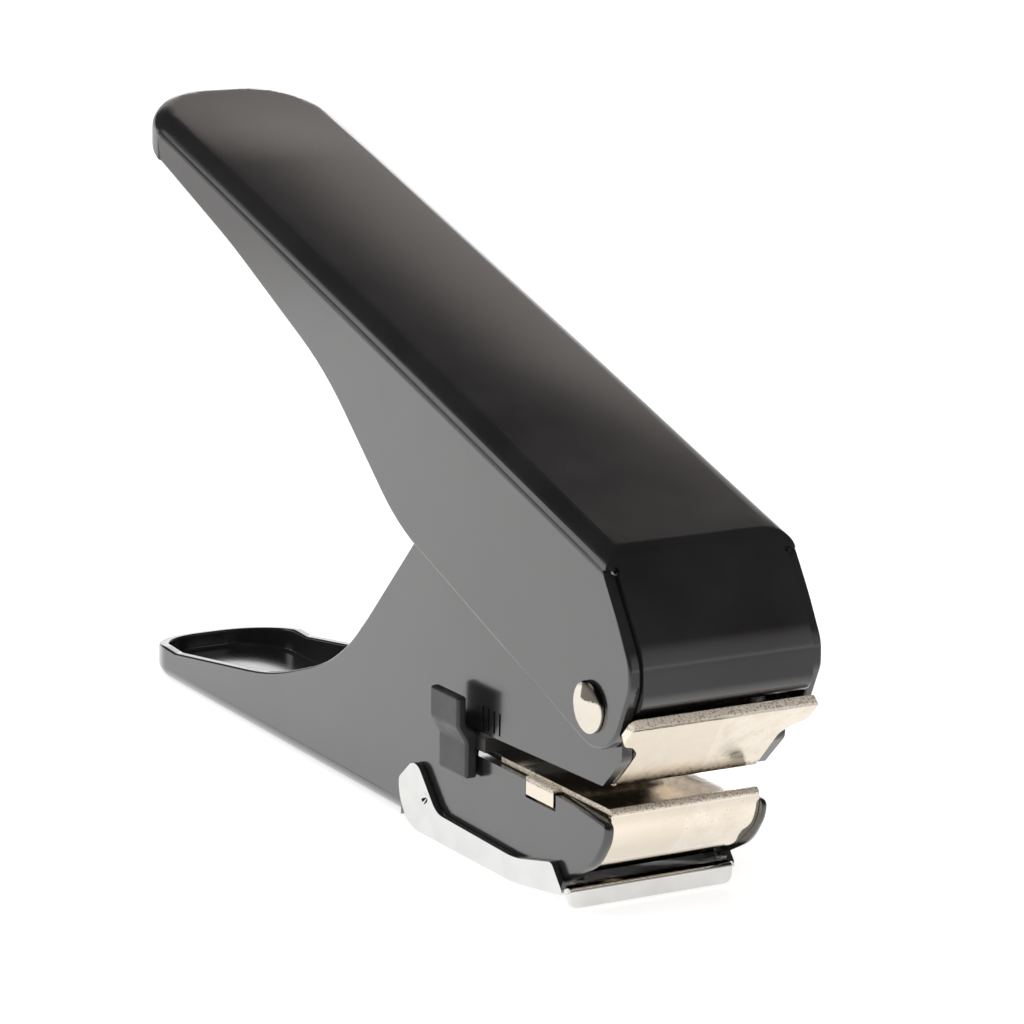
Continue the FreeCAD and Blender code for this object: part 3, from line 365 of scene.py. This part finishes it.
def sliced(shape, at, normal):
    """Cuts all but the flat sides with a plane, given in the tool's measures."""
    faces = [f for f in shape.faces if abs(f.normal.y) < FLAT_SIDE]
    edges = list({e for f in faces for e in f.edges})
    verts = list({v for f in faces for v in f.verts})
    bmesh.ops.bisect_plane(shape, geom=verts + edges + faces, dist=1e-7, plane_co=STANCE @ Vector(at),
                           plane_no=LEAN.to_3x3() @ Vector(normal))


def below_top(at):
    """How far a place lies under the line of the top."""
    return TOP_FROM[1] + (TOP_FROM[0] - at.x) * TOP_SLOPE - at.z


def crowned(shape):
    """Raises the middle of the top in a shallow curve that dies out at both ends."""
    for strip in range(1, CROWN_STRIPS):
        sliced(shape, (0, HANDLE_HALF_W * (2 * strip / CROWN_STRIPS - 1), 0), (0, 1, 0))
    for step in range(CROWN_STEPS + 1):
        for starts, is_full in (CROWN_REAR, CROWN_NOSE):
            sliced(shape, (starts + (is_full - starts) * step / CROWN_STEPS, 0, 0), (1, 0, 0))
    to_tool = STANCE.inverted()
    for vert in shape.verts:
        at = to_tool @ vert.co
        share = eased(at.x, *CROWN_REAR) * eased(at.x, *CROWN_NOSE)
        share *= eased(below_top(at), CROWN_DEEP, CROWN_WHOLE_TO)
        at.z += CROWN * share * (1 - (at.y / HANDLE_HALF_W) ** 2)
        vert.co = STANCE @ at


def outer_edges(shape, half_w, wanted):
    """The sharp edges around the outer faces that lie half_w from the middle."""
    to_tool = STANCE.inverted()
    found = []
    for e in sharp(shape):
        ends = [to_tool @ v.co for v in e.verts]
        on_face = all(abs(abs(p.y) - half_w) < ON_FACE for p in ends)
        square = e.calc_face_angle() > SQUARE_FROM
        flat = any(abs(f.normal.y) > FACES_OUT for f in e.link_faces)
        if on_face and square and flat and all(wanted(p) for p in ends):
            found.append(e)
    return found


shape = solid_of("handle_shell")
crowned(shape)
blanked = outer_edges(shape, HANDLE_HALF_W, lambda p: below_top(p) > CROWN_DEEP)
broken(shape, blanked, ROLLED_OVER, ROLLED_STEPS, clamp=False)
broken(shape, sharp(shape), TUMBLED)
made_piece("handle_sheet", shape, "handle_shell", "handle", paint_finish("handle_paint"))

# ---------------------------------------------------------------- body
# The cheeks and the trough between them are one sheet folded to a U. The punch press left the
# lower jaw's outer edges well rounded, and the trough's rim is softened for the palm.
BODY_HALF_W = 12.8
JAW_ROUND = 0.75
JAW_FROM = (-10.6, -13.5)
RIM_ROUND = 0.35
RIM_UP_TO = -62.0
LOOKS_UP = 0.6


def rim_edges(shape):
    """The sharp edges of the trough's rim."""
    to_tool = STANCE.inverted()
    return [e for e in sharp(shape) if all((to_tool @ v.co).x < RIM_UP_TO for v in e.verts)
            and any(f.normal.z > LOOKS_UP for f in e.link_faces)]


shape = solid_of("body_frame")
jaw = outer_edges(shape, BODY_HALF_W, lambda p: p.x > JAW_FROM[0] and p.z < JAW_FROM[1])
broken(shape, jaw, JAW_ROUND, ROLLED_STEPS, clamp=False)
broken(shape, rim_edges(shape), RIM_ROUND, ROLLED_STEPS, clamp=False)
broken(shape, sharp(shape), TUMBLED)
made_piece("body_sheet", shape, "body_frame", "frame", paint_finish("body_paint"))

# ---------------------------------------------------------------- rivet
# A nickelled steel rivet through both flanges. Its heads are set nearly flat, a little domed, and
# the setting tool has left them slightly uneven.
RIVET_AT = (0.8, 0.15)
RIVET_R, SHANK_R = 3.55, 2.5
HEAD_H, HEAD_DOME, HEAD_RIM = 0.55, 0.42, 0.12
HEAD_RINGS, HEAD_SIDES, HEAD_MERGED = 8, 64, 1e-4
RIVET_ROUGH, RIVET_WAVES = 0.12, (1.3, 0.02)
NICKEL = (0.97, 0.89, 0.77, 1)
NICKEL_DULL = (0.90, 0.81, 0.68, 1)
NICKEL_BROWN = (0.30, 0.245, 0.19, 1)
# The next shade of nickel is tumbled wear on the die plate's ears and painted shade on the rivet.
NICKEL_WORN_AND_SHADED = (0.76, 0.71, 0.62, 1)
NICKEL_DARK = (0.13, 0.115, 0.10, 1)
CLOUD_SIZE, PIT_SIZE, SPECKLE_SIZE, HOLE_SIZE, ROUGH_SIZE = 3.0, 0.35, 0.55, 0.30, 0.35
DARK_PATCH_X, DARK_PATCH_Z = (-0.3, 0.0), (1.8, 2.1)
DARK_PATCH_JAGS = (0.9, 1.4)
TORN_DARK, TORN_DEPTH, TORN_MATT = 0.75, 0.30, 0.6


def nickel_finish(name, roughness, waves, dull=None, dark=None, seam=None, darker_places=None, ragged=None):
    """Nickel plate with its waves' size and depth, and places, each a function that says how much of it is
    there: dulled (tumbled wear, and painted shade on the rivet), dark, marked by a seam, darker in blotches,
    or left ragged by the shear."""
    made, shader = finish(name)
    shader.inputs["Metallic"].default_value = 1.0
    colour = tinted(made, spread(made, grain(made, CLOUD_SIZE, 4.0), 0.0, 1.0, 0.4, 0.7), NICKEL, NICKEL_DULL)
    if dull:
        colour = tinted(made, dull(made), colour, NICKEL_WORN_AND_SHADED)
    if dark:
        colour = tinted(made, dark(made), colour, NICKEL_DARK)
    pits = spread(made, grain(made, PIT_SIZE, 2.0), 0.0, 0.5, 0.66, 0.74)
    colour = tinted(made, pits, colour, NICKEL_BROWN)
    rise = calc(made, "MULTIPLY", grain(made, waves[0], 2.0), waves[1])
    if seam:
        colour = tinted(made, seam(made), colour, NICKEL_DULL)
    if darker_places:
        speckle = spread(made, grain(made, SPECKLE_SIZE, 6.0), -0.25, 0.75, 0.40, 0.62)
        darkness = calc(made, "MULTIPLY", darker_places(made), calc(made, "ADD", speckle, darker_places(made)))
        colour = tinted(made, spread(made, darkness, 0.0, 1.0, 0.15, 1.1), colour, NICKEL_BROWN)
    if ragged:
        torn = ragged(made)
        holes = spread(made, grain(made, HOLE_SIZE, 3.0), 0.0, 1.0, 0.50, 0.62)
        holes = calc(made, "MULTIPLY", holes, torn)
        colour = tinted(made, calc(made, "MULTIPLY", holes, TORN_DARK), colour, NICKEL_BROWN)
        rough = calc(made, "MULTIPLY", grain(made, ROUGH_SIZE, 3.0), torn)
        rise = calc(made, "ADD", rise, calc(made, "MULTIPLY", rough, TORN_DEPTH))
        matt = calc(made, "MULTIPLY", torn, TORN_MATT)
        wire(made, calc(made, "SUBTRACT", 1.0, matt), shader.inputs["Metallic"])
    wire(made, colour, shader.inputs["Base Color"])
    dulled(made, shader, grain(made, 1.2, 4.0), roughness * 0.8, roughness * 1.25)
    relief(made, shader, rise, 1.0)
    return made


def rivet_shape():
    """Both heads and the shank, turned about the pivot axis."""
    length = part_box("pivot_rivet")[1][1] * 1000
    under = length - HEAD_DOME - HEAD_H
    line = [(RIVET_R * n / HEAD_RINGS, length - HEAD_DOME * (n / HEAD_RINGS) ** 2) for n in range(HEAD_RINGS)]
    line += [(RIVET_R, length - HEAD_DOME - HEAD_RIM / 2), (RIVET_R, under), (SHANK_R, under)]
    line += [(r, -y) for r, y in reversed(line)]
    shape = bmesh.new()
    verts = [shape.verts.new((RIVET_AT[0] + r, y, RIVET_AT[1])) for r, y in line]
    edges = [shape.edges.new(pair) for pair in zip(verts, verts[1:])]
    bmesh.ops.spin(shape, geom=verts + edges, cent=(RIVET_AT[0], 0, RIVET_AT[1]), axis=(0, 1, 0),
                   angle=math.tau, steps=HEAD_SIDES, use_merge=True)
    bmesh.ops.remove_doubles(shape, verts=shape.verts, dist=HEAD_MERGED)
    bmesh.ops.recalc_face_normals(shape, faces=shape.faces)
    bmesh.ops.transform(shape, matrix=STANCE, verts=shape.verts)
    return shape


def rivet_painted_shade(made):
    """Painted shade over all of it, in faint clouds: the nickel dulled where its reflection would show too
    bright.
    """
    return spread(made, grain(made, 2.0), 0.85, 1.0)


def rivet_dark_patch(made):
    """Darker over the upper front of the head, with a jagged lower edge."""
    places = measures(made)
    x, z = places["X"], places["Z"]
    jagged = calc(made, "ADD", z, calc(made, "MULTIPLY", grain(made, DARK_PATCH_JAGS[0], 3.0), DARK_PATCH_JAGS[1]))
    above = spread(made, jagged, 0.0, 1.0, *DARK_PATCH_Z)
    return calc(made, "MULTIPLY", above, spread(made, x, 0.0, 1.0, *DARK_PATCH_X))


shape = rivet_shape()
broken(shape, sharp(shape), HEAD_RIM)
# The rivet's nickel is dulled all over with painted shade.
rivet_nickel = nickel_finish("rivet_nickel", RIVET_ROUGH, RIVET_WAVES, dull=rivet_painted_shade, dark=rivet_dark_patch)
made_piece("rivet", shape, "pivot_rivet", "frame", rivet_nickel)

# ---------------------------------------------------------------- upper jaw plate
# Nickelled steel, bent up and leaning out between the cheeks. Its top edge is sheared and was plated as it
# was, so it sparkles, and its lower edge is darker in blotches.
UPPER_RAGGED = (-1.1, -0.575)
UPPER_DARKER_BAND_Z = (-11.2, -9.4)
UPPER_SEAM_Y, UPPER_SEAM_TURN, UPPER_SEAM_FROM = 0.5, 0.25, 4.6
SEAM_W, SEAM_SHOWS = 0.1, 0.75
PLATE_EDGE = 0.12
UPPER_ROUGH, PLATE_WAVES = 0.17, (2.5, 0.02)


def upper_darker_band(made):
    """Grey along the lower edge."""
    z = measures(made)["Z"]
    return spread(made, z, 1.0, 0.0, *UPPER_DARKER_BAND_Z)


def upper_ragged(made):
    """The sheared top and the strip of the front that it tore."""
    z = measures(made)["Z"]
    return spread(made, z, 0.0, 1.0, *UPPER_RAGGED)


def upper_seam(made):
    """A faint line down the middle where two strokes of the tool meet."""
    places = measures(made)
    y, z = places["Y"], places["Z"]
    slant = calc(made, "MULTIPLY", calc(made, "ADD", z, UPPER_SEAM_FROM), UPPER_SEAM_TURN)
    beside = calc(made, "ADD", y, slant)
    return spread(made, beside, SEAM_SHOWS, 0.0, UPPER_SEAM_Y - SEAM_W, UPPER_SEAM_Y + SEAM_W)


shape = solid_of("guide_plate")
broken(shape, sharp(shape), PLATE_EDGE)
upper_nickel = nickel_finish("upper_nickel", UPPER_ROUGH, PLATE_WAVES, seam=upper_seam,
                             darker_places=upper_darker_band, ragged=upper_ragged)
made_piece("upper_plate", shape, "guide_plate", "frame", upper_nickel)

# ---------------------------------------------------------------- lower jaw plate
# The die plate, of the same nickelled steel, rolled down over the cheeks' edges and curled under in front.
# The curl is darker towards its bottom.
CURL_DARK = (-25.4, -22.9)
BEND_RAGGED = (-15.4, -14.9)
BEND_ENDS = (-14.4, -14.3)
TAB_FROM, TAB_TO, TAB_DULL = 12.8, 13.0, 0.9
LOWER_ROUGH = 0.11


def curl_darker_down(made):
    """Darker and darker down the curl."""
    z = measures(made)["Z"]
    return spread(made, z, 1.0, 0.0, *CURL_DARK)


def lip_ragged(made):
    """The bend's stretched skin, rough along its outer edge."""
    z = measures(made)["Z"]
    above = spread(made, z, 0.0, 1.0, *BEND_RAGGED)
    return calc(made, "MULTIPLY", above, spread(made, z, 1.0, 0.0, *BEND_ENDS))


def tab_dull(made):
    """The ears that hook over the cheeks have been tumbled duller."""
    y = measures(made)["Y"]
    return spread(made, calc(made, "ABSOLUTE", y), 0.0, TAB_DULL, TAB_FROM, TAB_TO)


def lip_seam(made):
    """A faint line where the two halves of the tool met."""
    y = measures(made)["Y"]
    return spread(made, y, SEAM_SHOWS, 0.0, -SEAM_W, SEAM_W)


shape = solid_of("die_plate")
broken(shape, sharp(shape), PLATE_EDGE)
lower_nickel = nickel_finish("lower_nickel", LOWER_ROUGH, PLATE_WAVES, dull=tab_dull, seam=lip_seam,
                             darker_places=curl_darker_down, ragged=lip_ragged)
made_piece("lower_plate", shape, "die_plate", "frame", lower_nickel)

# ---------------------------------------------------------------- chip tray
# Bright chromed sheet, two arms and a floor, with a rolled lip to pull it down by. It snaps on
# the cheeks with a dimple in each arm.
CHROME = (0.81, 0.815, 0.80, 1)
CHROME_DULL = (0.76, 0.765, 0.755, 1)


def chrome_finish(name):
    """Bright chrome over sheet that is not quite flat."""
    made, shader = finish(name)
    shader.inputs["Metallic"].default_value = 1.0
    clouded(made, shader, grain(made, 5.0, 4.0), CHROME, CHROME_DULL)
    dulled(made, shader, grain(made, 2.0, 5.0), 0.05, 0.09)
    relief(made, shader, grain(made, 4.0, 2.0), 0.02)
    return made


shape = solid_of("chip_tray")
broken(shape, sharp(shape), PLATE_EDGE)
made_piece("tray_sheet", shape, "chip_tray", "chip_tray", chrome_finish("tray_chrome"))

# ---------------------------------------------------------------- depth stop
# Moulded black nylon with a faintly sparked surface, a thumb pad above and a foot below.
NYLON = (0.014, 0.014, 0.015, 1)
NYLON_WORN = (0.024, 0.024, 0.024, 1)
NYLON_EDGE = 0.4


def nylon_finish(name):
    """Black nylon with the fine grain of a sparked mould."""
    made, shader = finish(name)
    clouded(made, shader, grain(made, 4.0), NYLON, NYLON_WORN)
    dulled(made, shader, grain(made, 2.0, 5.0), 0.30, 0.40)
    shader.inputs["IOR"].default_value = 1.65
    relief(made, shader, grain(made, 0.22, 2.0), 0.03)
    return made


shape = solid_of("depth_stop")
broken(shape, sharp(shape), NYLON_EDGE)
made_piece("stop_moulding", shape, "depth_stop", "depth_stop", nylon_finish("stop_nylon"))

# ---------------------------------------------------------------- inner works
# Plain bright steel: the bracket and roller pin that the handle drives, the guide block, the punch on its
# carrier, their pins, screws, washers, sleeve and springs. All keep their CAD shapes.
STEEL = (0.46, 0.46, 0.47, 1)
STEEL_DULL = (0.36, 0.36, 0.37, 1)


def steel_finish(name):
    """Plain steel, ground and lightly oiled."""
    made, shader = finish(name)
    shader.inputs["Metallic"].default_value = 1.0
    clouded(made, shader, grain(made, 3.0), STEEL, STEEL_DULL)
    dulled(made, shader, grain(made, 0.8, 5.0), 0.26, 0.38)
    relief(made, shader, grain(made, 0.5, 3.0), 0.01)
    return made


steel = steel_finish("plain_steel")
for cad_node in ("drive_bracket", "pivot_sleeve", "pivot_washer_right", "pivot_washer_left", "guide_block",
                 "guide_screws", "punch_carrier", "punch_blade", "blade_pins", "drive_pin",
                 "drive_roller_right", "drive_roller_left"):
    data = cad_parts[cad_node].data
    data.materials.clear()
    data.materials.append(steel)

for name, cad_node in (("spring_front", "return_spring_front"), ("spring_rear", "return_spring_rear")):
    spring = made_piece(name, solid_of(cad_node), cad_node, "frame", steel)
    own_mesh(spring)
